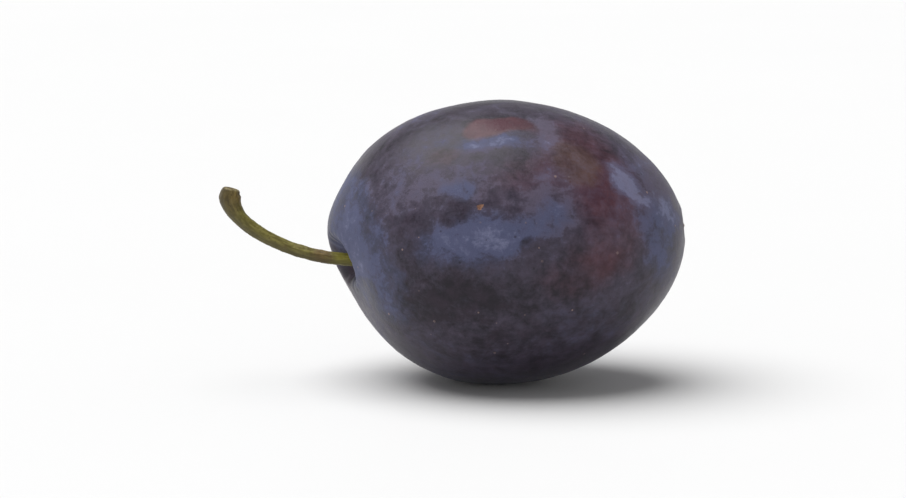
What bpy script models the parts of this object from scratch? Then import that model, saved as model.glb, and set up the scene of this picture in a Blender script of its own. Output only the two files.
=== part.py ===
"""A dark European plum with its stalk, as picked, lying on its side.

The frame's origin is the centre of the small flat spot that the fruit settles on.
+X runs along the fruit towards the blossom end, -X towards the stalk, +Z is up.
The fruit grew as one solid, and the stalk is its own piece, seated in the stalk cavity.
All lengths are in metres.
"""
import math

import bmesh
import bpy
from mathutils import Matrix, Vector
from mathutils.geometry import interpolate_bezier

# Fruit: driving dimensions, before the flat spot is taken off
HALF_LENGTH = 0.0223
HALF_WIDTH = 0.0186
HALF_HEIGHT = 0.0183
BLUNTNESS_ABOVE = 1.07       # blossom half, upper side: above 1 is a little pointed
BLUNTNESS_BELOW = 1.00       # blossom half, underside: 1 is a plain oval
STALK_BLUNTNESS = 0.96       # stalk half: below 1 is a little blunt
EGG_TAPER = 0.065            # how much fuller the stalk half is than the blossom half
AXIS_TILT = math.radians(5.2)  # the stalk end hangs lower

# Sloping shoulder at the stalk end: its high side is above and behind
SHOULDER_SLOPE = 0.0030
SHOULDER_ANGLE = math.radians(48.0)  # from straight up, towards the back
SHOULDER_ONSET = 1.5         # how late along the stalk half the slope sets in

# Stalk cavity: a funnel with a soft rim
CAVITY_DEPTH = 0.0038
CAVITY_RADIUS = 0.0042
CAVITY_SHARPNESS = 1.3       # above 1 the funnel narrows faster towards its floor
CAVITY_Y = -0.0017
CAVITY_Z = -0.0002
RIM_RADIUS = 0.0049
RIM_WIDTH = 0.0039
RIM_START = 0.0020           # the rim's rise starts from nothing at the centre and is full here
RIM_RISE = 0.00015
RIM_TILT_RISE = 0.00085      # extra rise on the high side, and drop on the low side

# Suture: the shallow seam that runs along one side from cavity to blossom end
SUTURE_ANGLE = math.radians(20.0)    # around the fruit, from straight back, upwards
SUTURE_HALF_WIDTH = math.radians(7.0)
SUTURE_DEPTH = 0.028                 # as a share of the fruit's radius there
SUTURE_FADE = 0.5                    # how slowly the seam fades towards both ends

# Flat resting spot
FLAT_DEPTH = 0.0004

# Stalk: a smooth curve in metres from the fruit's centre, base first
STALK_BASE = Vector((-0.0200, -0.0018, -0.0021))
STALK_BASE_HANDLE = Vector((-0.0259, -0.0020, -0.0028))
STALK_END_HANDLE = Vector((-0.0372, -0.0024, 0.0022))
STALK_END = Vector((-0.0359, -0.0022, 0.0070))
STALK_RADIUS = 0.00083
FOOT_SWELL = 0.00012         # added radius at the base
NECK_SWELL = 0.00012         # added radius along the outer half
KNOB_SWELL = 0.00049         # added radius of the swollen end
KNOB_ROUNDING = 0.14         # share of its radius that the knob loses at its very end
FOOT_END = 0.10              # shares of the stalk's length, from its base
NECK_START = 0.40
KNOB_START = 0.72
KNOB_FULL = 0.96
ROUNDING_START = 0.93

# Mesh fineness
FRUIT_SEGMENTS = 56
FRUIT_RINGS = 44
RING_CROWDING = 0.35         # rings lie closer together towards the stalk end
STALK_SIDES = 14
STALK_RINGS = 26


def smooth_step(low, high, value):
    share = min(max((value - low) / (high - low), 0.0), 1.0)
    return share * share * (3.0 - 2.0 * share)


def middle(values):
    return 0.5 * (min(values) + max(values))


def signed_power(value, power):
    return math.copysign(abs(value) ** power, value)


def cavity_offset(y, z):
    """Shift along the fruit's axis near the stalk end: the funnel inwards, its rim outwards."""
    dy = y - CAVITY_Y
    dz = z - CAVITY_Z
    distance = math.hypot(dy, dz)
    funnel = CAVITY_DEPTH * (1.0 - smooth_step(0.0, CAVITY_RADIUS, distance)) ** CAVITY_SHARPNESS
    ring = math.exp(-((distance - RIM_RADIUS) / RIM_WIDTH) ** 2) * smooth_step(0.0, RIM_START, distance)
    high_side = 0.0
    if distance > 0.0:
        high_side = (dz * math.cos(SHOULDER_ANGLE) + dy * math.sin(SHOULDER_ANGLE)) / distance
    return funnel - (RIM_RISE + RIM_TILT_RISE * high_side) * ring


def skin_point(polar, around):
    """A point of the fruit's skin: polar runs from blossom end to stalk end, around from the back upwards."""
    along = math.cos(polar)
    bluntness = STALK_BLUNTNESS
    if along > 0.0:
        above = 0.5 + 0.5 * math.sin(around)
        bluntness = BLUNTNESS_BELOW + (BLUNTNESS_ABOVE - BLUNTNESS_BELOW) * above
    reach = abs(math.sin(polar)) ** bluntness * (1.0 - EGG_TAPER * along)
    turn = (around - SUTURE_ANGLE + math.pi) % (2.0 * math.pi) - math.pi
    seam = math.exp(-(turn / SUTURE_HALF_WIDTH) ** 2) * math.sin(polar) ** SUTURE_FADE
    reach *= 1.0 - SUTURE_DEPTH * seam
    x = HALF_LENGTH * signed_power(along, bluntness)
    y = HALF_WIDTH * reach * math.cos(around)
    z = HALF_HEIGHT * reach * math.sin(around)
    if along < 0.0:
        uphill = z / HALF_HEIGHT * math.cos(SHOULDER_ANGLE) + y / HALF_WIDTH * math.sin(SHOULDER_ANGLE)
        x -= SHOULDER_SLOPE * uphill * (-along) ** SHOULDER_ONSET
        x += cavity_offset(y, z)
    return Vector((x, y, z))


def material(name, colour, roughness):
    result = bpy.data.materials.new(name)
    result.use_nodes = True
    shader = result.node_tree.nodes["Principled BSDF"]
    shader.inputs["Base Color"].default_value = (*colour, 1.0)
    shader.inputs["Roughness"].default_value = roughness
    shader.inputs["Metallic"].default_value = 0.0
    return result


def add_object(name, bm, finish):
    mesh = bpy.data.meshes.new(name)
    bm.to_mesh(mesh)
    bm.free()
    mesh.shade_smooth()
    mesh.set_sharp_from_angle(angle=math.radians(40.0))
    mesh.materials.append(finish)
    result = bpy.data.objects.new(name, mesh)
    bpy.context.scene.collection.objects.link(result)
    return result


def build_fruit():
    """The fruit, and the matrix that takes its centre's frame to the resting frame."""
    bm = bmesh.new()
    bmesh.ops.create_uvsphere(bm, u_segments=FRUIT_SEGMENTS, v_segments=FRUIT_RINGS, radius=1.0)
    for vert in bm.verts:
        polar = math.acos(min(max(vert.co.z, -1.0), 1.0))
        polar += RING_CROWDING * math.sin(polar)
        vert.co = skin_point(polar, math.atan2(vert.co.y, vert.co.x))
    tilt = Matrix.Rotation(-AXIS_TILT, 4, "Y")
    bmesh.ops.transform(bm, matrix=tilt, verts=bm.verts)
    floor = min(vert.co.z for vert in bm.verts) + FLAT_DEPTH
    everything = bm.verts[:] + bm.edges[:] + bm.faces[:]
    cut = bmesh.ops.bisect_plane(
        bm, geom=everything, plane_co=(0.0, 0.0, floor), plane_no=(0.0, 0.0, -1.0), clear_outer=True
    )
    rim = [item for item in cut["geom_cut"] if isinstance(item, bmesh.types.BMEdge)]
    bmesh.ops.edgeloop_fill(bm, edges=rim)
    bmesh.ops.recalc_face_normals(bm, faces=bm.faces)
    rim_verts = {vert for edge in rim for vert in edge.verts}
    rest_x = middle([vert.co.x for vert in rim_verts])
    rest_y = middle([vert.co.y for vert in rim_verts])
    to_rest = Matrix.Translation((-rest_x, -rest_y, -floor))
    bmesh.ops.transform(bm, matrix=to_rest, verts=bm.verts)
    skin = material("plum_skin", (0.055, 0.045, 0.075), 0.45)
    return add_object("fruit", bm, skin), to_rest


def stalk_radius(share):
    """Radius along the stalk: a slight foot, a slender middle and a swollen end with a rounded edge."""
    foot = FOOT_SWELL * (1.0 - smooth_step(0.0, FOOT_END, share))
    neck = NECK_SWELL * smooth_step(NECK_START, KNOB_START, share)
    knob = KNOB_SWELL * smooth_step(KNOB_START, KNOB_FULL, share)
    rounding = 1.0 - KNOB_ROUNDING * smooth_step(ROUNDING_START, 1.0, share)
    return (STALK_RADIUS + foot + neck + knob) * rounding


def build_stalk(to_rest):
    """Rings swept along the stalk's curve, closed by a flat cap at each end."""
    curve = (STALK_BASE, STALK_BASE_HANDLE, STALK_END_HANDLE, STALK_END)
    centres = interpolate_bezier(*curve, STALK_RINGS)
    bm = bmesh.new()
    rings = []
    side = Vector((0.0, 1.0, 0.0))
    for index, centre in enumerate(centres):
        before = centres[max(index - 1, 0)]
        after = centres[min(index + 1, STALK_RINGS - 1)]
        forward = (after - before).normalized()
        side = (side - forward * side.dot(forward)).normalized()
        over = forward.cross(side)
        radius = stalk_radius(index / (STALK_RINGS - 1))
        ring = []
        for step in range(STALK_SIDES):
            angle = 2.0 * math.pi * step / STALK_SIDES
            offset = side * math.cos(angle) + over * math.sin(angle)
            ring.append(bm.verts.new(to_rest @ (centre + offset * radius)))
        rings.append(ring)
    for near, far in zip(rings, rings[1:]):
        for step in range(STALK_SIDES):
            following = (step + 1) % STALK_SIDES
            bm.faces.new((near[step], near[following], far[following], far[step]))
    bm.faces.new(list(reversed(rings[0])))
    bm.faces.new(rings[-1])
    bmesh.ops.recalc_face_normals(bm, faces=bm.faces)
    return add_object("stem", bm, material("plum_stem", (0.17, 0.15, 0.06), 0.6))


def main():
    for leftover in list(bpy.data.objects):
        bpy.data.objects.remove(leftover)
    _, to_rest = build_fruit()
    build_stalk(to_rest)


main()
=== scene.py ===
"""The looks of a dark European plum with its stalk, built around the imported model.

The fruit lies on its side on a small flat spot. +X runs along it towards the blossom end, +Z is up,
and -Y is the side that faces the camera. Lengths are in metres unless a name says mm.
"""
import math

import bpy
import numpy as np
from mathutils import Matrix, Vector, noise
from mathutils.geometry import interpolate_bezier


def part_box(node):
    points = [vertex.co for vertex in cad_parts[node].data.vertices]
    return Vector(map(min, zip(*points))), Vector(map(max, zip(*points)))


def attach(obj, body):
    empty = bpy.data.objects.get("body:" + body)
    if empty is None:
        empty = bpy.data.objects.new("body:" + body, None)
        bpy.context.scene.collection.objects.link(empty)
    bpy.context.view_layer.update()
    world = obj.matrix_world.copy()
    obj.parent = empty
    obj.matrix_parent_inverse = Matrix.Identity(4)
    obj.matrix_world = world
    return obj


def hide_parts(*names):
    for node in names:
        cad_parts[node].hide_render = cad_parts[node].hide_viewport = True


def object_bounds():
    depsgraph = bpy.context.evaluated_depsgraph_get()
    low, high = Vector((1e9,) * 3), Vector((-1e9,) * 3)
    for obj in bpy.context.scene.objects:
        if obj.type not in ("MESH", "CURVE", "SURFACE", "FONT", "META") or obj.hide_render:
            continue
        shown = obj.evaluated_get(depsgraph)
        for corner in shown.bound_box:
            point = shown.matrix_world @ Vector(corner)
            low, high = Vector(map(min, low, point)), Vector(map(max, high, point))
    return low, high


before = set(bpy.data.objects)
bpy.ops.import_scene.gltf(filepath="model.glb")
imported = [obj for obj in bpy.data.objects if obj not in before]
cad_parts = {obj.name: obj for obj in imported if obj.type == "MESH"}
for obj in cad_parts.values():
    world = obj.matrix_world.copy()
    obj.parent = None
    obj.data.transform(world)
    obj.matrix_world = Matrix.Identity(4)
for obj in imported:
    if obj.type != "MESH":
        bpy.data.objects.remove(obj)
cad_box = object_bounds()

MM = 0.001

# ---------------------------------------------------------------- fruit: driving dimensions
HALF_LENGTH = 0.0223
HALF_WIDTH = 0.0186
HALF_HEIGHT = 0.0183
BLUNTNESS_ABOVE = 1.07       # blossom half, upper side: above 1 is a little pointed
BLUNTNESS_BELOW = 1.00       # blossom half, underside: 1 is a plain oval
STALK_BLUNTNESS = 0.96       # stalk half: below 1 is a little blunt
EGG_TAPER = 0.065            # how much fuller the stalk half is than the blossom half
AXIS_TILT = math.radians(5.2)        # the stalk end hangs lower
SHOULDER_SLOPE = 0.0030
SHOULDER_ANGLE = math.radians(48.0)  # where the shoulder is high: from straight up, towards the back
SHOULDER_ONSET = 1.5         # how late along the stalk half the slope sets in
CAVITY_DEPTH = 0.0038
CAVITY_RADIUS = 0.0042
CAVITY_SHARPNESS = 1.3       # above 1 the funnel narrows faster towards its floor
CAVITY_Y = -0.0017
CAVITY_Z = -0.0002
RIM_RADIUS = 0.0049
RIM_WIDTH = 0.0039
RIM_START = 0.0020           # the rim's rise starts from nothing at the centre and is full here
RIM_RISE = 0.00015
RIM_TILT_RISE = 0.00085      # extra rise on the high side, and drop on the low side
SUTURE_ANGLE = math.radians(20.0)    # around the fruit, from straight back, upwards
SUTURE_HALF_WIDTH = math.radians(7.0)
SUTURE_DEPTH = 0.028         # as a share of the fruit's radius there
SUTURE_FADE = 0.5            # how slowly the seam fades towards both ends

FRUIT_RINGS = 250
FRUIT_SEGMENTS = 300
RING_CROWDING = 0.35         # rings lie closer together towards the stalk end
FLAT_ROUNDING = 0.00012      # how softly the skin turns into the flat spot

# ---------------------------------------------------------------- fruit: fine relief
LUMP_HEIGHT = 0.00016
LUMP_SIZE = 0.013
DIMPLE_HEIGHT = 0.000030
DIMPLE_SIZE = 0.0024
CREASE_DEPTH = 0.00022       # the sharp line along the suture's bottom
CREASE_WIDTH = 0.0005
LIP_HEIGHT = 0.00012         # the suture's raised edges
LIP_OFFSET = 0.0022
LIP_WIDTH = 0.0012
PUCKERS = 17.0               # folds around the stalk cavity
PUCKER_HEIGHT = 0.00003
PUCKER_RADIUS = 0.0028
PUCKER_WIDTH = 0.0013
PUCKER_WOBBLE_SIZE = 0.004
TIP_DIMPLE_DEPTH = 0.00030   # the blossom end: a nub in a dimple, with a faint ring around it
TIP_DIMPLE_RADIUS = 0.0014
TIP_NUB_HEIGHT = 0.00034
TIP_NUB_RADIUS = 0.00042
TIP_RING_HEIGHT = 0.00008
TIP_RING_RADIUS = 0.0021
TIP_RING_WIDTH = 0.0007

# ---------------------------------------------------------------- stalk: driving dimensions
STALK_BASE = Vector((-0.0190, -0.0018, -0.0021))
STALK_BASE_HANDLE = Vector((-0.0259, -0.0020, -0.0028))
STALK_END_HANDLE = Vector((-0.0372, -0.0024, 0.0022))
STALK_END = Vector((-0.0359, -0.0022, 0.0068))
STALK_RADIUS = 0.00081
FOOT_SWELL = 0.00014         # added radius at the base
NECK_SWELL = 0.00012         # added radius along the outer half
KNOB_SWELL = 0.00049         # added radius of the swollen end
KNOB_ROUNDING = 0.14         # share of its radius that the knob loses at its very end
FOOT_END = 0.10              # shares of the stalk's length, from its base
NECK_START = 0.40
KNOB_START = 0.72
KNOB_FULL = 0.96
ROUNDING_START = 0.93
# The end's own rings: share of the last ring's radius, and lift along the stalk
CAP_RINGS = (
    (0.965, 0.00010), (0.90, 0.00020), (0.80, 0.00029), (0.68, 0.00034),
    (0.55, 0.00031), (0.42, 0.00025), (0.28, 0.00023), (0.14, 0.00022),
)
STALK_SIDES = 48
STALK_RINGS = 220

# ---------------------------------------------------------------- stalk: fine relief
STALK_TWIST = 1.2            # how far the ridges wind from base to end, in radians
BROAD_RIDGES = 5.0
BROAD_RIDGE_HEIGHT = 0.000030
FINE_RIDGES = 11.0
FINE_RIDGE_HEIGHT = 0.000016
STALK_LUMP_HEIGHT = 0.00006
STALK_LUMP_SIZE = 0.0016
STALK_GRAIN_HEIGHT = 0.00002
STALK_GRAIN_SIZE = 0.0005
KNOB_LUMPINESS = 0.5         # how much lumpier the swollen end is
LUMPY_START = 0.86
LUMPY_FULL = 0.97

# ---------------------------------------------------------------- colours, as linear red, green and blue
# A pair is a darker and a lighter form of the same colour.
DARK_SKIN = ((0.0120, 0.0088, 0.0150), (0.0250, 0.0165, 0.0275))
RED_SKIN = ((0.0620, 0.0220, 0.0330), (0.0910, 0.0355, 0.0470))
AMBER_SKIN = (0.1060, 0.0560, 0.0350)
RUBY_SKIN = (0.0600, 0.0085, 0.0215)
LILAC_WAX = (0.132, 0.113, 0.172)
BLUE_WAX = (0.112, 0.126, 0.236)
THICK_WAX = (0.210, 0.222, 0.350)
LENTICEL = (0.250, 0.175, 0.165)
CORK = ((0.130, 0.056, 0.034), (0.280, 0.145, 0.090))
CAVITY_FLOOR = ((0.045, 0.026, 0.012), (0.150, 0.100, 0.038))
BLOSSOM_SCAR = (0.160, 0.092, 0.052)
SHEEN_TINT = (0.82, 0.86, 1.0)
STALK_GREEN = ((0.120, 0.101, 0.020), (0.245, 0.215, 0.055))
STALK_BROWN = ((0.082, 0.048, 0.014), (0.175, 0.108, 0.033))
STALK_YELLOW = ((0.190, 0.166, 0.016), (0.310, 0.285, 0.036))
# painted shade for the outer side of the stalk's curve
STALK_PAINTED_SHADE = (0.040, 0.031, 0.010)
STALK_SPECK = (0.045, 0.026, 0.012)
STALK_SCAR = ((0.075, 0.050, 0.018), (0.230, 0.185, 0.075))

# ---------------------------------------------------------------- studio
WORLD_HORIZON = 1.0          # the world's strength at eye level
WORLD_ZENITH = 0.22          # and overhead
FADE_START = 0.10            # heights of the view direction between which it dims
FADE_END = 0.40
KEY_SPREAD = math.radians(64.0)
KEY_STRENGTH = 3.3
KEY_FROM = (-0.40, 0.08, 1.28)
FLOOR_SHADE = 0.785
FLOOR_MOTTLE = 0.012
FLOOR_RADIUS = 8.0
CAMERA_ELEVATION = math.radians(9.0)
CAMERA_DISTANCE = 0.55
CAMERA_LENS_MM = 170.0
CAMERA_SENSOR_MM = 36.0
AIM_DROP = 0.001             # how far below the object's middle the camera aims


# ================================================================= number helpers
def smooth_step(low, high, value):
    """0 up to low, 1 from high, and a smooth rise between them."""
    share = np.clip((value - low) / (high - low), 0.0, 1.0)
    return share * share * (3.0 - 2.0 * share)


def fractal(points, size, octaves, shift):
    """Fractal noise, about -1 to 1, whose broadest features are `size` metres across."""
    scaled = points / size + shift
    return np.array([noise.fractal(Vector(p), 0.8, 2.0, octaves) for p in scaled])


# ================================================================= fruit: shape
def cavity_offset(y, z):
    """Shift along the axis near the stalk end: the funnel goes in and its rim comes out."""
    dy = y - CAVITY_Y
    dz = z - CAVITY_Z
    distance = np.hypot(dy, dz) + 1e-9
    funnel = CAVITY_DEPTH * (1.0 - smooth_step(0.0, CAVITY_RADIUS, distance)) ** CAVITY_SHARPNESS
    ring = np.exp(-((distance - RIM_RADIUS) / RIM_WIDTH) ** 2) * smooth_step(0.0, RIM_START, distance)
    high_side = (dz * math.cos(SHOULDER_ANGLE) + dy * math.sin(SHOULDER_ANGLE)) / distance
    return funnel - (RIM_RISE + RIM_TILT_RISE * high_side) * ring


def turn_from_suture(around):
    """Angle around the fruit from its suture, from -pi to pi."""
    return (around - SUTURE_ANGLE + math.pi) % (2.0 * math.pi) - math.pi


def skin_points(polar, around):
    """The fruit's skin in its own frame: polar from blossom to stalk end, around from the back up."""
    along = np.cos(polar)
    blossom_bluntness = BLUNTNESS_BELOW + (BLUNTNESS_ABOVE - BLUNTNESS_BELOW) * (0.5 + 0.5 * np.sin(around))
    bluntness = np.where(along > 0.0, blossom_bluntness, STALK_BLUNTNESS)
    reach = np.abs(np.sin(polar)) ** bluntness * (1.0 - EGG_TAPER * along)
    seam = np.exp(-(turn_from_suture(around) / SUTURE_HALF_WIDTH) ** 2) * np.sin(polar) ** SUTURE_FADE
    reach = reach * (1.0 - SUTURE_DEPTH * seam)
    x = HALF_LENGTH * np.sign(along) * np.abs(along) ** bluntness
    y = HALF_WIDTH * reach * np.cos(around)
    z = HALF_HEIGHT * reach * np.sin(around)
    uphill = z / HALF_HEIGHT * math.cos(SHOULDER_ANGLE) + y / HALF_WIDTH * math.sin(SHOULDER_ANGLE)
    stalk_half = np.clip(-along, 0.0, 1.0)
    x = x - SHOULDER_SLOPE * uphill * stalk_half ** SHOULDER_ONSET
    x = x + np.where(along < 0.0, cavity_offset(y, z), 0.0)
    return np.stack([x, y, z], axis=-1)


def tilt(points):
    """Turns points of the fruit's own frame so that the stalk end hangs lower."""
    x, y, z = points[..., 0], points[..., 1], points[..., 2]
    cos, sin = math.cos(AXIS_TILT), math.sin(AXIS_TILT)
    return np.stack([x * cos - z * sin, y, x * sin + z * cos], axis=-1)


def grid_normals(points):
    """Outward normals of a ring-by-segment grid that closes round its segments."""
    down = np.gradient(points, axis=0)
    across = np.roll(points, -1, axis=1) - np.roll(points, 1, axis=1)
    normal = np.cross(across, down)
    normal /= np.linalg.norm(normal, axis=-1, keepdims=True) + 1e-12
    outward = np.sign(np.sum(normal * points, axis=-1).mean())
    return normal * outward


def fruit_grid():
    """Polar and around angles of the grid, with rings crowded towards the stalk end."""
    rings = np.linspace(0.0, math.pi, FRUIT_RINGS + 2)
    rings = rings + RING_CROWDING * np.sin(rings)
    segments = np.linspace(0.0, 2.0 * math.pi, FRUIT_SEGMENTS, endpoint=False)
    return np.meshgrid(rings, segments, indexing="ij")


def relief(points, polar, around):
    """Fine height over the smooth skin, in metres: lumps, suture crease, puckers and the blossom scar."""
    flat = points.reshape(-1, 3)
    shape = polar.shape
    lumps = LUMP_HEIGHT * fractal(flat, LUMP_SIZE, 2, 3.1).reshape(shape)
    dimples = DIMPLE_HEIGHT * fractal(flat, DIMPLE_SIZE, 3, 9.7).reshape(shape)
    turn = turn_from_suture(around)
    reach = np.hypot(points[..., 1], points[..., 2])
    crease = -CREASE_DEPTH * np.exp(-(turn * reach / CREASE_WIDTH) ** 2) * np.sin(polar)
    lips = LIP_HEIGHT * np.exp(-((np.abs(turn * reach) - LIP_OFFSET) / LIP_WIDTH) ** 2) * np.sin(polar)
    from_pit = np.hypot(points[..., 1] - CAVITY_Y, points[..., 2] - CAVITY_Z)
    pit_turn = np.arctan2(points[..., 2] - CAVITY_Z, points[..., 1] - CAVITY_Y)
    wobble = 2.0 * fractal(flat, PUCKER_WOBBLE_SIZE, 2, 5.5).reshape(shape)
    stalk_end = polar > 0.5 * math.pi
    pucker = np.cos(PUCKERS * pit_turn + wobble) * np.exp(-((from_pit - PUCKER_RADIUS) / PUCKER_WIDTH) ** 2)
    pucker = PUCKER_HEIGHT * pucker * stalk_end
    from_tip = np.where(stalk_end, np.inf, reach)
    tip_dimple = -TIP_DIMPLE_DEPTH * np.exp(-(from_tip / TIP_DIMPLE_RADIUS) ** 2)
    tip_nub = TIP_NUB_HEIGHT * np.exp(-(from_tip / TIP_NUB_RADIUS) ** 2)
    tip_ring = TIP_RING_HEIGHT * np.exp(-((from_tip - TIP_RING_RADIUS) / TIP_RING_WIDTH) ** 2)
    return lumps + dimples + crease + lips + pucker + tip_dimple + tip_nub + tip_ring


def settle(points):
    """Moves the tilted fruit to where the CAD fruit lies, and flattens what would go below the floor."""
    low, high = (np.array(corner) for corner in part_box("fruit"))
    middle = 0.5 * (points.reshape(-1, 3).min(axis=0) + points.reshape(-1, 3).max(axis=0))
    shift = 0.5 * (low + high) - middle
    shift[2] = high[2] - points[..., 2].max()
    moved = points + shift
    height = moved[..., 2] - low[2]
    moved[..., 2] = low[2] + 0.5 * (height + np.sqrt(height ** 2 + FLAT_ROUNDING ** 2))
    return moved, shift


# ================================================================= fruit: marks on the skin
EVEN_BLOOM = 0.40            # how thick the wax lies between the patches
PATCH_EDGE = (0.45, 1.35)    # a patch fades between these shares of its half size
WARP_MM = 0.9                # how far noise pushes the patches' outlines about
WARP_SIZE = 0.0042
BROAD_SIZE = 0.010
STREAK_SIZE = 0.0030
STREAK_STRETCH = np.array([0.45, 1.0, 1.0])
SEAM_WAX_MM = 1.6            # half width of the thicker wax along the suture
PIT_EDGE_MM = (0.9, 2.3)     # distances from the cavity's centre between which its floor's colour ends
TIP_EDGE_MM = (0.45, 0.95)   # the same for the blossom scar

# Each patch: place along the fruit in mm, angle up from the front in degrees, half length and half
# height in mm, turn in degrees, strength.
BLOOM_AND_PAINTED_LIGHT_PATCHES = (
    # The first patch is painted light: thicker, paler wax along the whole front's middle band lightens it
    # where the lamp leaves it dimmer.
    (0.0, 22.0, 20.0, 6.5, 0.0, 0.15),
    (-21.0, 62.0, 2.6, 6.0, 0.0, 0.20),
    (-20.4, 22.0, 2.0, 5.0, 0.0, 0.22),
    (-18.4, 6.0, 2.2, 3.5, 20.0, 0.20),
    (-16.0, -14.0, 2.4, 4.0, 20.0, 0.15),
    (-13.0, 44.0, 4.0, 6.0, 10.0, 0.16),
    (-7.6, 38.0, 2.6, 2.2, 0.0, 0.16),
    (-2.4, 51.5, 4.2, 1.7, -4.0, 0.62),
    (5.4, 61.0, 2.0, 3.0, 10.0, 0.46),
    (14.8, 37.0, 1.6, 3.6, 38.0, 0.85),
    (19.0, 50.0, 2.4, 5.5, 10.0, 0.34),
    (18.6, 4.0, 2.6, 6.0, 0.0, 0.26),
    (-5.0, 10.5, 6.4, 2.6, 4.0, 0.32),
    (-2.6, 9.8, 1.6, 1.4, 0.0, 0.22),
    (4.6, 16.5, 3.4, 2.3, 10.0, 0.22),
    (4.0, 31.0, 2.4, 1.8, 0.0, 0.12),
    (2.4, 24.5, 3.0, 1.7, 0.0, 0.14),
    (-5.9, 31.5, 2.0, 1.3, 0.0, 0.24),
    (-3.0, -24.0, 5.0, 2.2, -12.0, 0.22),
    (11.5, -22.0, 3.6, 2.4, 25.0, 0.22),
    (-9.0, 118.0, 7.0, 5.0, 10.0, 0.30),
    (8.0, 150.0, 6.0, 4.0, -15.0, 0.34),
    (-4.0, 196.0, 8.0, 4.5, 10.0, 0.36),
    (14.0, 190.0, 3.5, 4.0, 0.0, 0.26),
    (-15.0, 160.0, 3.0, 5.0, 0.0, 0.26),
)
RUBBED_AND_PAINTED_SHADE_PATCHES = (
    # The first patch is painted shade: thinner wax over the top darkens it where the lamp's highlight falls.
    (-8.0, 66.0, 9.0, 5.0, 0.0, 0.14),
    (-2.2, 60.5, 2.8, 2.2, 10.0, 0.75),
    (1.3, 62.5, 2.6, 1.7, -12.0, 0.75),
    (3.8, 40.0, 3.0, 2.6, 0.0, 0.20),
    (10.5, 46.0, 4.0, 7.5, 20.0, 0.26),
    (12.9, 10.0, 4.4, 5.0, 0.0, 0.16),
    (8.0, -8.0, 6.0, 3.6, 0.0, 0.20),
    (-7.5, 49.5, 2.4, 1.6, 0.0, 0.30),
    (-6.2, 23.7, 3.1, 1.5, 8.0, 0.18),
    (-12.6, 14.0, 2.8, 4.6, 0.0, 0.22),
    (1.6, 9.8, 0.8, 0.7, 0.0, 0.45),
    (-7.5, -14.0, 8.0, 4.0, 0.0, 0.34),
    # Painted shade: thinner wax over the whole underside darkens the fruit towards the bottom.
    (1.0, -42.0, 19.0, 10.0, 0.0, 0.20),
    (-1.0, 92.0, 6.0, 2.6, 20.0, 0.30),
    (4.0, 122.0, 4.0, 3.0, -20.0, 0.34),
    (-7.0, 160.0, 4.0, 3.4, 30.0, 0.36),
    (6.0, 182.0, 4.0, 2.4, 0.0, 0.36),
    (-10.0, 225.0, 5.0, 5.0, 0.0, 0.30),
)
BLUSH_PATCHES = (
    (-2.2, 60.5, 3.0, 2.3, 10.0, 1.25),
    (1.3, 62.5, 2.8, 1.8, -12.0, 1.20),
    (10.0, 48.0, 6.0, 9.0, 20.0, 0.66),
    (13.2, 14.0, 5.6, 7.5, 0.0, 0.52),
    (8.0, -8.0, 6.0, 4.0, 0.0, 0.45),
    (2.6, 38.0, 4.0, 3.0, 0.0, 0.35),
    (1.5, 28.0, 7.0, 4.0, 0.0, 0.30),
    (-7.5, 49.5, 2.6, 1.8, 0.0, 0.40),
    (-4.0, 128.0, 6.0, 4.0, 20.0, 0.65),
    (9.0, 205.0, 5.0, 4.0, -20.0, 0.60),
    (-11.0, 232.0, 4.0, 5.0, 0.0, 0.55),
)
AMBER_PATCHES = (
    (8.8, 43.0, 3.2, 4.6, 20.0, 0.8),
    (-3.0, 126.0, 2.6, 2.2, 20.0, 0.8),
    (-11.0, 230.0, 2.4, 2.6, 0.0, 0.8),
)
BLUE_PATCHES = (
    (-21.0, 60.0, 3.0, 8.0, 0.0, 0.8),
    (-19.5, 12.0, 3.5, 7.0, 0.0, 0.9),
    (-16.0, -14.0, 3.2, 5.0, 20.0, 0.9),
    (-2.4, 52.5, 4.6, 1.9, -4.0, 0.6),
    (-5.9, 31.5, 2.4, 1.6, 0.0, 0.5),
    (-5.0, 10.5, 7.4, 3.4, 4.0, 0.8),
    (4.6, 16.5, 3.6, 2.6, 10.0, 0.4),
    (14.8, 37.0, 2.0, 3.6, 38.0, 0.35),
    (19.0, 2.0, 2.6, 6.0, 0.0, 0.5),
    (-9.0, 118.0, 6.0, 6.0, 0.0, 0.7),
    (8.0, 150.0, 8.0, 5.0, 0.0, 0.7),
    (-4.0, 190.0, 9.0, 5.0, 0.0, 0.7),
)
RUSSET_PATCHES = (
    (-3.2, 23.3, 0.75, 0.42, 15.0, 0.95),
    (6.5, 139.0, 2.6, 1.1, 35.0, 1.0),
    (-10.5, 176.0, 1.0, 0.7, 0.0, 0.9),
    (14.0, 222.0, 1.6, 0.8, -30.0, 0.9),
)


def patch_field(patches, along_mm, up_angle, reach_mm, warp):
    """Sum of soft-edged oval patches, whose outlines the warp makes irregular."""
    field = np.zeros_like(along_mm)
    for place, angle, half_length, half_height, turn, strength in patches:
        gap = (up_angle - math.radians(angle) + math.pi) % (2.0 * math.pi) - math.pi
        du = along_mm - place + warp[0]
        dv = gap * reach_mm + warp[1]
        cos, sin = math.cos(math.radians(turn)), math.sin(math.radians(turn))
        oval = np.hypot((du * cos + dv * sin) / half_length, (dv * cos - du * sin) / half_height)
        field += strength * (1.0 - smooth_step(*PATCH_EDGE, oval))
    return field


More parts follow.
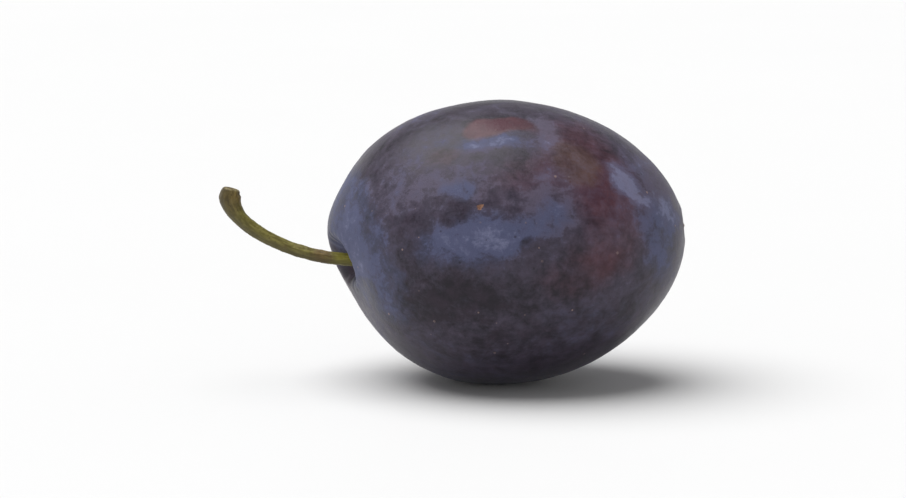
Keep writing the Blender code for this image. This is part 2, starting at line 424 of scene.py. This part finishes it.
def skin_fields(points, polar, around):
    """Per-point fields that the skin's shader reads."""
    flat = points.reshape(-1, 3)
    shape = polar.shape
    along_mm = points[..., 0] / MM
    reach_mm = np.maximum(np.hypot(points[..., 1], points[..., 2]) / MM, 4.0)
    up_angle = math.pi - around
    warp = (
        WARP_MM * fractal(flat, WARP_SIZE, 3, 21.0).reshape(shape),
        WARP_MM * fractal(flat, WARP_SIZE, 3, 37.0).reshape(shape),
    )
    where = (along_mm, up_angle, reach_mm, warp)
    front = smooth_step(-0.3, 0.6, np.cos(up_angle - 0.4))
    broad = fractal(flat, BROAD_SIZE, 3, 12.3).reshape(shape)
    streaks = fractal(flat * STREAK_STRETCH, STREAK_SIZE, 3, 44.0).reshape(shape)
    patchy = (1.0 - 0.65 * front) * (0.30 * broad + 0.16 * streaks)
    seam = np.exp(-(turn_from_suture(around) * reach_mm / SEAM_WAX_MM) ** 2) * np.sin(polar) ** 2
    # The wax field also carries painted light along the front's middle band and painted shade over the top
    # and the underside.
    bloom_and_painted_shading = EVEN_BLOOM + patchy + patch_field(BLOOM_AND_PAINTED_LIGHT_PATCHES, *where) - patch_field(RUBBED_AND_PAINTED_SHADE_PATCHES, *where)
    bloom_and_painted_shading = bloom_and_painted_shading + 0.35 * seam
    blush = patch_field(BLUSH_PATCHES, *where) + (1.0 - front) * 0.5 * np.maximum(-broad, 0.0)
    blue = patch_field(BLUE_PATCHES, *where) + 0.25 + 0.3 * broad + 0.5 * seam
    amber = patch_field(AMBER_PATCHES, *where)
    russet = patch_field(RUSSET_PATCHES, *where)
    from_pit = np.hypot(points[..., 1] - CAVITY_Y, points[..., 2] - CAVITY_Z) / MM
    stalk_end = polar > 0.5 * math.pi
    pit = (1.0 - smooth_step(*PIT_EDGE_MM, from_pit)) * stalk_end
    from_tip = np.hypot(points[..., 1], points[..., 2]) / MM
    tip = (1.0 - smooth_step(*TIP_EDGE_MM, from_tip)) * ~stalk_end
    return {
        "bloom_and_painted_shading": bloom_and_painted_shading, "blush": blush, "amber": amber, "blue": blue, "russet": russet, "pit": pit, "tip": tip
    }


def mesh_from_grid(name, points, fields, wrap_first, wrap_last):
    """A closed mesh from rings of points; the first and last rings shrink to the points given."""
    rings, segments = points.shape[:2]
    body = points.reshape(-1, 3)
    verts = np.vstack([body, wrap_first, wrap_last])
    first, last = len(body), len(body) + 1
    faces = []
    for ring in range(rings - 1):
        for step in range(segments):
            following = (step + 1) % segments
            a, b = ring * segments + step, ring * segments + following
            faces.append((a, b, b + segments, a + segments))
    base = (rings - 1) * segments
    for step in range(segments):
        following = (step + 1) % segments
        faces.append((first, following, step))
        faces.append((last, base + step, base + following))
    mesh = bpy.data.meshes.new(name)
    mesh.from_pydata(verts.tolist(), [], faces)
    for field, values in fields.items():
        layer = mesh.attributes.new(field, "FLOAT", "POINT")
        ends = (values[0].mean(), values[-1].mean())
        layer.data.foreach_set("value", np.append(values.reshape(-1), ends).astype(np.float32))
    mesh.validate()
    mesh.shade_smooth()
    result = bpy.data.objects.new(name, mesh)
    bpy.context.scene.collection.objects.link(result)
    return result


def build_fruit():
    """The fruit, and the shift from its own tilted frame to where it lies."""
    polar, around = fruit_grid()
    smooth = skin_points(polar, around)
    fields = skin_fields(smooth, polar, around)
    raised = smooth + grid_normals(smooth) * relief(smooth, polar, around)[..., None]
    placed, shift = settle(tilt(raised))
    inner = placed[1:-1]
    fields = {name: values[1:-1] for name, values in fields.items()}
    piece = mesh_from_grid("plum_fruit", inner, fields, placed[0, 0], placed[-1, 0])
    return piece, shift


# ================================================================= stalk
def stalk_radius(share):
    """Radius along the stalk: a slight foot, a slender middle and a swollen end with a rounded edge."""
    foot = FOOT_SWELL * (1.0 - smooth_step(0.0, FOOT_END, share))
    neck = NECK_SWELL * smooth_step(NECK_START, KNOB_START, share)
    knob = KNOB_SWELL * smooth_step(KNOB_START, KNOB_FULL, share)
    rounding = 1.0 - KNOB_ROUNDING * smooth_step(ROUNDING_START, 1.0, share)
    return (STALK_RADIUS + foot + neck + knob) * rounding


def build_stalk(shift):
    """Rings swept along the stalk's curve, with ridges, a lumpy knob and a hollow end scar."""
    own = [np.array(p) for p in (STALK_BASE, STALK_BASE_HANDLE, STALK_END_HANDLE, STALK_END)]
    curve = [Vector(p + shift) for p in own]
    centres = [np.array(p) for p in interpolate_bezier(*curve, STALK_RINGS)]
    side = np.array([0.0, 1.0, 0.0])
    turns = np.linspace(0.0, 2.0 * math.pi, STALK_SIDES, endpoint=False)
    rings = []
    for index, centre in enumerate(centres):
        before = centres[max(index - 1, 0)]
        after = centres[min(index + 1, STALK_RINGS - 1)]
        forward = (after - before) / np.linalg.norm(after - before)
        side = side - forward * np.dot(side, forward)
        side /= np.linalg.norm(side)
        over = np.cross(forward, side)
        share = index / (STALK_RINGS - 1)
        outward = np.outer(np.cos(turns), side) + np.outer(np.sin(turns), over)
        twist = turns + STALK_TWIST * share
        ridges = BROAD_RIDGE_HEIGHT * np.cos(BROAD_RIDGES * twist)
        ridges = ridges + FINE_RIDGE_HEIGHT * np.cos(FINE_RIDGES * twist + 2.0)
        rings.append(centre + outward * (stalk_radius(share) + ridges)[:, None])
    end_centre, end_forward = centres[-1], forward
    for inset, lift in CAP_RINGS:
        rings.append(end_centre + (rings[STALK_RINGS - 1] - end_centre) * inset + end_forward * lift)
    points = np.stack(rings)
    flat = points.reshape(-1, 3)
    lumps = STALK_LUMP_HEIGHT * fractal(flat, STALK_LUMP_SIZE, 3, 2.2)
    lumps = lumps + STALK_GRAIN_HEIGHT * fractal(flat, STALK_GRAIN_SIZE, 2, 8.8)
    ring_number = np.arange(len(rings), dtype=float)[:, None] * np.ones(STALK_SIDES)
    share = np.minimum(ring_number / (STALK_RINGS - 1), 1.0)
    knobby = 1.0 + KNOB_LUMPINESS * smooth_step(LUMPY_START, LUMPY_FULL, share)
    points = points + grid_normals_open(points) * (lumps.reshape(share.shape) * knobby)[..., None]
    scar = smooth_step(STALK_RINGS - 0.5, STALK_RINGS + 1.5, ring_number)
    turn = np.ones(len(rings))[:, None] * turns
    fields = {"share": share, "scar": scar, "turn_x": np.cos(turn), "turn_y": np.sin(turn)}
    first, last = points[0].mean(axis=0), points[-1].mean(axis=0)
    return mesh_from_grid("plum_stem", points, fields, first, last)


def grid_normals_open(points):
    """Normals that point away from each ring's own centre."""
    centre = points.mean(axis=1, keepdims=True)
    away = points - centre
    return away / (np.linalg.norm(away, axis=-1, keepdims=True) + 1e-12)


# ================================================================= materials
class Graph:
    """Small helper that adds and links shader nodes."""

    def __init__(self, name):
        self.material = bpy.data.materials.new(name)
        self.material.use_nodes = True
        self.nodes = self.material.node_tree.nodes
        self.links = self.material.node_tree.links
        self.shader = self.nodes["Principled BSDF"]

    def node(self, kind, **settings):
        """A new node of this kind with these settings."""
        made = self.nodes.new(kind)
        for key, value in settings.items():
            setattr(made, key, value)
        return made

    def put(self, socket, value):
        """Links a node's output to the socket, or sets a plain value or colour on it."""
        if isinstance(value, bpy.types.NodeSocket):
            self.links.new(value, socket)
        elif isinstance(value, tuple) and socket.type == "RGBA":
            socket.default_value = (*value, 1.0)
        else:
            socket.default_value = value

    def attribute(self, name):
        """One of the per-point fields that the mesh carries."""
        return self.node("ShaderNodeAttribute", attribute_name=name).outputs["Fac"]

    def place_mm(self):
        """Object coordinates in millimetres."""
        coords = self.node("ShaderNodeTexCoord").outputs["Object"]
        scaled = self.node("ShaderNodeVectorMath", operation="SCALE")
        self.put(scaled.inputs[0], coords)
        scaled.inputs["Scale"].default_value = 1.0 / MM
        return scaled.outputs["Vector"]

    def noise(self, place, size_mm, detail=4.0, roughness=0.55, stretch=None, shift=0.0, swirl=0.0):
        """Noise from 0 to 1, mostly near 0.5, whose features are about size_mm across."""
        if stretch or shift:
            mapping = self.node("ShaderNodeMapping")
            self.put(mapping.inputs["Vector"], place)
            mapping.inputs["Scale"].default_value = stretch or (1.0, 1.0, 1.0)
            mapping.inputs["Location"].default_value = (shift, shift, shift)
            place = mapping.outputs["Vector"]
        made = self.node("ShaderNodeTexNoise")
        self.put(made.inputs["Vector"], place)
        made.inputs["Scale"].default_value = 1.0 / size_mm
        made.inputs["Detail"].default_value = detail
        made.inputs["Roughness"].default_value = roughness
        made.inputs["Distortion"].default_value = swirl
        return made.outputs["Fac"]

    def cells(self, place, size_mm, shift=0.0):
        """Distance to the nearest cell's centre in mm, and a random value for each cell."""
        mapping = self.node("ShaderNodeMapping")
        self.put(mapping.inputs["Vector"], place)
        mapping.inputs["Location"].default_value = (shift, shift, shift)
        made = self.node("ShaderNodeTexVoronoi")
        self.put(made.inputs["Vector"], mapping.outputs["Vector"])
        made.inputs["Scale"].default_value = 1.0 / size_mm
        split = self.node("ShaderNodeSeparateColor")
        self.put(split.inputs["Color"], made.outputs["Color"])
        return self.math("MULTIPLY", made.outputs["Distance"], size_mm), split.outputs["Red"]

    def math(self, operation, first, second):
        """One arithmetic step on two values."""
        made = self.node("ShaderNodeMath", operation=operation)
        self.put(made.inputs[0], first)
        self.put(made.inputs[1], second)
        return made.outputs["Value"]

    def centred(self, value, gain):
        """A 0 to 1 value moved to swing about 0 by the gain."""
        return self.math("MULTIPLY", self.math("SUBTRACT", value, 0.5), gain)

    def total(self, *values):
        """The sum of the values."""
        result = values[0]
        for value in values[1:]:
            result = self.math("ADD", result, value)
        return result

    def ramp(self, value, low, high, start=0.0, end=1.0):
        """Goes smoothly from start to end while the value goes from low to high."""
        made = self.node("ShaderNodeMapRange", interpolation_type="SMOOTHSTEP")
        self.put(made.inputs["Value"], value)
        made.inputs["From Min"].default_value = low
        made.inputs["From Max"].default_value = high
        made.inputs["To Min"].default_value = start
        made.inputs["To Max"].default_value = end
        return made.outputs["Result"]

    def mix(self, share, first, second):
        """The first colour at share 0, the second at share 1, and blends between."""
        made = self.node("ShaderNodeMix", data_type="RGBA")
        self.put(made.inputs["Factor"], share)
        colours = [socket for socket in made.inputs if socket.type == "RGBA"]
        self.put(colours[0], first)
        self.put(colours[1], second)
        return next(socket for socket in made.outputs if socket.type == "RGBA")

    def bump(self, height, distance):
        """A normal bent by the height, which a value of 1 raises by the distance in metres."""
        made = self.node("ShaderNodeBump")
        self.put(made.inputs["Height"], height)
        made.inputs["Distance"].default_value = distance
        made.inputs["Strength"].default_value = 1.0
        return made.outputs["Normal"]


def skin_material():
    """Dark skin with a maroon blush, under a waxy bloom in three layers with torn edges; the wax's thickness
    also carries painted light and shade.
    """
    g = Graph("plum_skin_bloom")
    place = g.place_mm()
    blotches = g.noise(place, 3.4, 5.0, 0.62, swirl=0.7)
    medium = g.noise(place, 1.1, 5.0, 0.66, shift=7.0, swirl=0.5)
    small = g.noise(place, 0.36, 4.0, 0.65, shift=13.0)
    grain = g.noise(place, 0.10, 3.0, 0.6, shift=3.0)
    rubs = g.noise(place, 0.8, 4.0, 0.6, stretch=(0.30, 1.0, 1.0), shift=11.0)

    # How thick the wax lies, with ragged edges at several scales; the field also brings painted light along
    # the front's middle band and painted shade over the top and the underside
    cover_and_painted_shading = g.total(
        g.attribute("bloom_and_painted_shading"), g.centred(blotches, 1.05), g.centred(medium, 0.85),
        g.centred(small, 0.42), g.centred(rubs, 0.55),
    )
    veil = g.ramp(cover_and_painted_shading, -0.15, 0.75)
    patch = g.ramp(cover_and_painted_shading, 0.50, 0.74)
    crust = g.ramp(cover_and_painted_shading, 0.86, 1.20)
    powder_and_painted_shading = g.total(
        g.math("MULTIPLY", veil, 0.42), g.math("MULTIPLY", patch, 0.24), g.math("MULTIPLY", crust, 0.16)
    )
    powder_and_painted_shading = g.math("MULTIPLY", powder_and_painted_shading, g.ramp(grain, 0.30, 0.70, 0.84, 1.06))

    # Pin-prick spots where the wax is missing
    spot_distance, spot_pick = g.cells(place, 1.15, 31.0)
    spot_size = g.ramp(spot_pick, 0.55, 1.0, -0.05, 0.13)
    bare = g.ramp(g.math("SUBTRACT", spot_distance, spot_size), 0.0, 0.07, 1.0, 0.0)
    powder_and_painted_shading = g.math("MULTIPLY", powder_and_painted_shading, g.ramp(bare, 0.0, 1.0, 1.0, 0.45))

    # Skin under the wax: dark violet, with a maroon blush that turns amber or ruby in places
    reddening = g.total(g.attribute("blush"), g.centred(blotches, 0.9), g.centred(medium, 0.6))
    blush = g.ramp(reddening, 0.10, 1.0)
    ruby = g.ramp(reddening, 1.05, 1.65)
    mottle = g.ramp(g.noise(place, 1.6, 4.0, 0.6, shift=19.0, swirl=0.4), 0.35, 0.68)
    dark = g.mix(mottle, *DARK_SKIN)
    red = g.mix(mottle, *RED_SKIN)
    amber = g.ramp(g.total(g.attribute("amber"), g.centred(blotches, 0.8)), 0.25, 1.0, 0.0, 0.85)
    red = g.mix(amber, red, AMBER_SKIN)
    red = g.mix(ruby, red, RUBY_SKIN)
    skin = g.mix(blush, dark, red)

    # Wax over the skin: lilac to blue, and paler where it is thickest
    tint = g.ramp(g.total(g.attribute("blue"), g.centred(medium, 0.8), g.centred(blotches, 0.8)), 0.20, 0.95)
    wax = g.mix(tint, LILAC_WAX, BLUE_WAX)
    wax = g.mix(g.math("MULTIPLY", crust, 0.7), wax, THICK_WAX)
    colour = g.mix(powder_and_painted_shading, skin, wax)

    # Pale pin-prick lenticels, each with its own size
    distance, pick = g.cells(place, 1.9)
    size = g.ramp(pick, 0.40, 1.0, -0.06, 0.16)
    dots = g.ramp(g.math("SUBTRACT", distance, size), 0.0, 0.06, 1.0, 0.0)
    crowd = g.ramp(g.noise(place, 7.0, 2.0, 0.5, shift=41.0), 0.40, 0.60, 0.20, 0.85)
    colour = g.mix(g.math("MULTIPLY", dots, crowd), colour, LENTICEL)

    # Tan corky flecks
    cork = g.ramp(g.total(g.attribute("russet"), g.centred(medium, 1.2), g.centred(small, 1.0)), 0.40, 0.75)
    colour = g.mix(cork, colour, g.mix(g.ramp(small, 0.35, 0.65), *CORK))

    # Golden-brown floor of the stalk cavity, and the scar at the blossom end
    pit = g.ramp(g.total(g.attribute("pit"), g.centred(small, 1.0)), 0.25, 0.8)
    colour = g.mix(pit, colour, g.mix(small, *CAVITY_FLOOR))
    tip = g.ramp(g.total(g.attribute("tip"), g.centred(small, 0.8)), 0.35, 0.75)
    colour = g.mix(tip, colour, BLOSSOM_SCAR)

    rough = g.total(
        g.ramp(powder_and_painted_shading, 0.05, 0.70, 0.36, 0.62), g.centred(small, 0.16), g.math("MULTIPLY", cork, 0.15)
    )
    height = g.total(
        g.math("MULTIPLY", powder_and_painted_shading, 0.40), g.math("MULTIPLY", small, 0.30), g.math("MULTIPLY", grain, 0.10),
        g.math("MULTIPLY", dots, 0.45), g.math("MULTIPLY", cork, 0.7),
    )
    g.put(g.shader.inputs["Base Color"], colour)
    g.put(g.shader.inputs["Roughness"], rough)
    g.put(g.shader.inputs["Normal"], g.bump(height, 0.00006))
    g.shader.inputs["Specular IOR Level"].default_value = 0.24
    g.shader.inputs["Sheen Weight"].default_value = 0.06
    g.shader.inputs["Sheen Roughness"].default_value = 0.40
    g.shader.inputs["Sheen Tint"].default_value = (*SHEEN_TINT, 1.0)
    return g.material


def stalk_material():
    """Olive fibres, browner at the swollen end, yellow at the fruit, with specks, and painted shade on the
    outer side of the curve.
    """
    g = Graph("plum_stem_fibre")
    place = g.place_mm()
    share = g.attribute("share")
    fibre = g.node("ShaderNodeCombineXYZ")
    g.put(fibre.inputs["X"], g.attribute("turn_x"))
    g.put(fibre.inputs["Y"], g.attribute("turn_y"))
    g.put(fibre.inputs["Z"], g.math("MULTIPLY", share, 4.0))
    streak = g.noise(fibre.outputs["Vector"], 0.30, 6.0, 0.62)
    broad = g.noise(place, 2.2, 4.0, 0.6)
    small = g.noise(place, 0.35, 5.0, 0.65, shift=4.0)

    streaked = g.ramp(g.total(streak, g.centred(small, 0.5)), 0.34, 0.66)
    green = g.mix(streaked, *STALK_GREEN)
    brown = g.mix(streaked, *STALK_BROWN)
    yellow = g.mix(streaked, *STALK_YELLOW)
    wavering = g.total(share, g.centred(broad, 0.20), g.centred(small, 0.05))
    towards_end = g.ramp(wavering, 0.72, 0.95)
    band = g.math("MULTIPLY", g.ramp(wavering, 0.17, 0.21), g.ramp(wavering, 0.25, 0.33, 1.0, 0.0))
    foot = g.ramp(wavering, 0.14, 0.20, 1.0, 0.0)
    blots = g.ramp(g.total(broad, g.centred(small, 0.4)), 0.56, 0.72, 0.0, 0.6)
    browned = g.math("MAXIMUM", g.math("MULTIPLY", towards_end, 0.70), g.math("MULTIPLY", band, 0.85))
    browned = g.math("MAXIMUM", browned, blots)
    colour = g.mix(browned, green, brown)
    colour = g.mix(g.math("MULTIPLY", foot, 0.8), colour, yellow)
    # Painted shade: the outer side of the stalk's curve, its underside along most of its length, is darkened
    # to a deep olive brown.
    outer = g.ramp(g.total(g.attribute("turn_y"), g.centred(small, 0.8)), -0.65, 0.75, 0.0, 0.68)
    colour = g.mix(outer, colour, STALK_PAINTED_SHADE)
    distance, pick = g.cells(place, 0.7)
    specks = g.math("MULTIPLY", g.ramp(distance, 0.04, 0.13, 1.0, 0.0), g.ramp(pick, 0.45, 0.65))
    colour = g.mix(g.math("MULTIPLY", specks, 0.75), colour, STALK_SPECK)
    scar = g.ramp(g.total(g.attribute("scar"), g.centred(small, 0.8)), 0.3, 0.8)
    colour = g.mix(scar, colour, g.mix(g.ramp(small, 0.35, 0.65), *STALK_SCAR))

    height = g.total(
        g.math("MULTIPLY", streak, 0.7), g.math("MULTIPLY", small, 0.5), g.math("MULTIPLY", specks, -0.4)
    )
    g.put(g.shader.inputs["Base Color"], colour)
    g.put(g.shader.inputs["Roughness"], g.ramp(small, 0.2, 0.8, 0.40, 0.62))
    g.put(g.shader.inputs["Normal"], g.bump(height, 0.00010))
    g.shader.inputs["Specular IOR Level"].default_value = 0.35
    return g.material


def floor_material():
    """White paper with a barely visible mottle."""
    g = Graph("studio_floor")
    place = g.place_mm()
    mottled = g.noise(place, 60.0, 3.0, 0.5)
    shades = ((FLOOR_SHADE,) * 3, (FLOOR_SHADE + FLOOR_MOTTLE,) * 3)
    g.put(g.shader.inputs["Base Color"], g.mix(mottled, *shades))
    g.shader.inputs["Roughness"].default_value = 0.75
    g.shader.inputs["Specular IOR Level"].default_value = 0.2
    return g.material


# ================================================================= studio
def build_floor():
    """A round white floor, so wide that its edge lies at the horizon."""
    bpy.ops.mesh.primitive_circle_add(
        vertices=128, radius=FLOOR_RADIUS, fill_type="NGON", location=(0.0, 0.0, 0.0)
    )
    floor = bpy.context.object
    floor.name = "floor"
    floor.data.materials.append(floor_material())


def build_key():
    """One very wide soft box overhead, a little to the left, lighting the whole floor evenly."""
    data = bpy.data.lights.new("key", "SUN")
    data.angle = KEY_SPREAD
    data.energy = KEY_STRENGTH
    lamp = bpy.data.objects.new("key", data)
    lamp.location = KEY_FROM
    lamp.rotation_euler = Vector(KEY_FROM).to_track_quat("Z", "Y").to_euler()
    bpy.context.scene.collection.objects.link(lamp)


def build_world():
    """White all round at eye level, and dimmer overhead, where the soft box does the work."""
    world = bpy.data.worlds.new("studio")
    world.use_nodes = True
    nodes, links = world.node_tree.nodes, world.node_tree.links
    direction = nodes.new("ShaderNodeTexCoord")
    split = nodes.new("ShaderNodeSeparateXYZ")
    fade = nodes.new("ShaderNodeMapRange")
    fade.interpolation_type = "SMOOTHSTEP"
    fade.inputs["From Min"].default_value = FADE_START
    fade.inputs["From Max"].default_value = FADE_END
    fade.inputs["To Min"].default_value = WORLD_HORIZON
    fade.inputs["To Max"].default_value = WORLD_ZENITH
    links.new(direction.outputs["Generated"], split.inputs["Vector"])
    links.new(split.outputs["Z"], fade.inputs["Value"])
    links.new(fade.outputs["Result"], nodes["Background"].inputs["Strength"])
    nodes["Background"].inputs["Color"].default_value = (1.0, 1.0, 1.0, 1.0)
    bpy.context.scene.world = world


def build_camera(target):
    """A long lens a little above the fruit, square on to its long side."""
    data = bpy.data.cameras.new("camera")
    data.lens = CAMERA_LENS_MM
    data.sensor_width = CAMERA_SENSOR_MM
    camera = bpy.data.objects.new("camera", data)
    backwards = Vector((0.0, -math.cos(CAMERA_ELEVATION), math.sin(CAMERA_ELEVATION)))
    camera.location = Vector(target) + CAMERA_DISTANCE * backwards
    camera.rotation_euler = (Vector(target) - camera.location).to_track_quat("-Z", "Y").to_euler()
    bpy.context.scene.collection.objects.link(camera)
    bpy.context.scene.camera = camera


def main():
    scene = bpy.context.scene
    scene.view_settings.view_transform = "Standard"
    low, high = cad_box
    middle = [0.5 * (a + b) for a, b in zip(low, high)]
    target = (middle[0], middle[1], middle[2] - AIM_DROP)
    build_floor()
    build_world()
    build_key()
    build_camera(target)

    fruit, shift = build_fruit()
    fruit.data.materials.append(skin_material())
    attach(fruit, "root")
    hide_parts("fruit")

    stem = build_stalk(shift)
    stem.data.materials.append(stalk_material())
    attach(stem, "root")
    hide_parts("stem")


main()
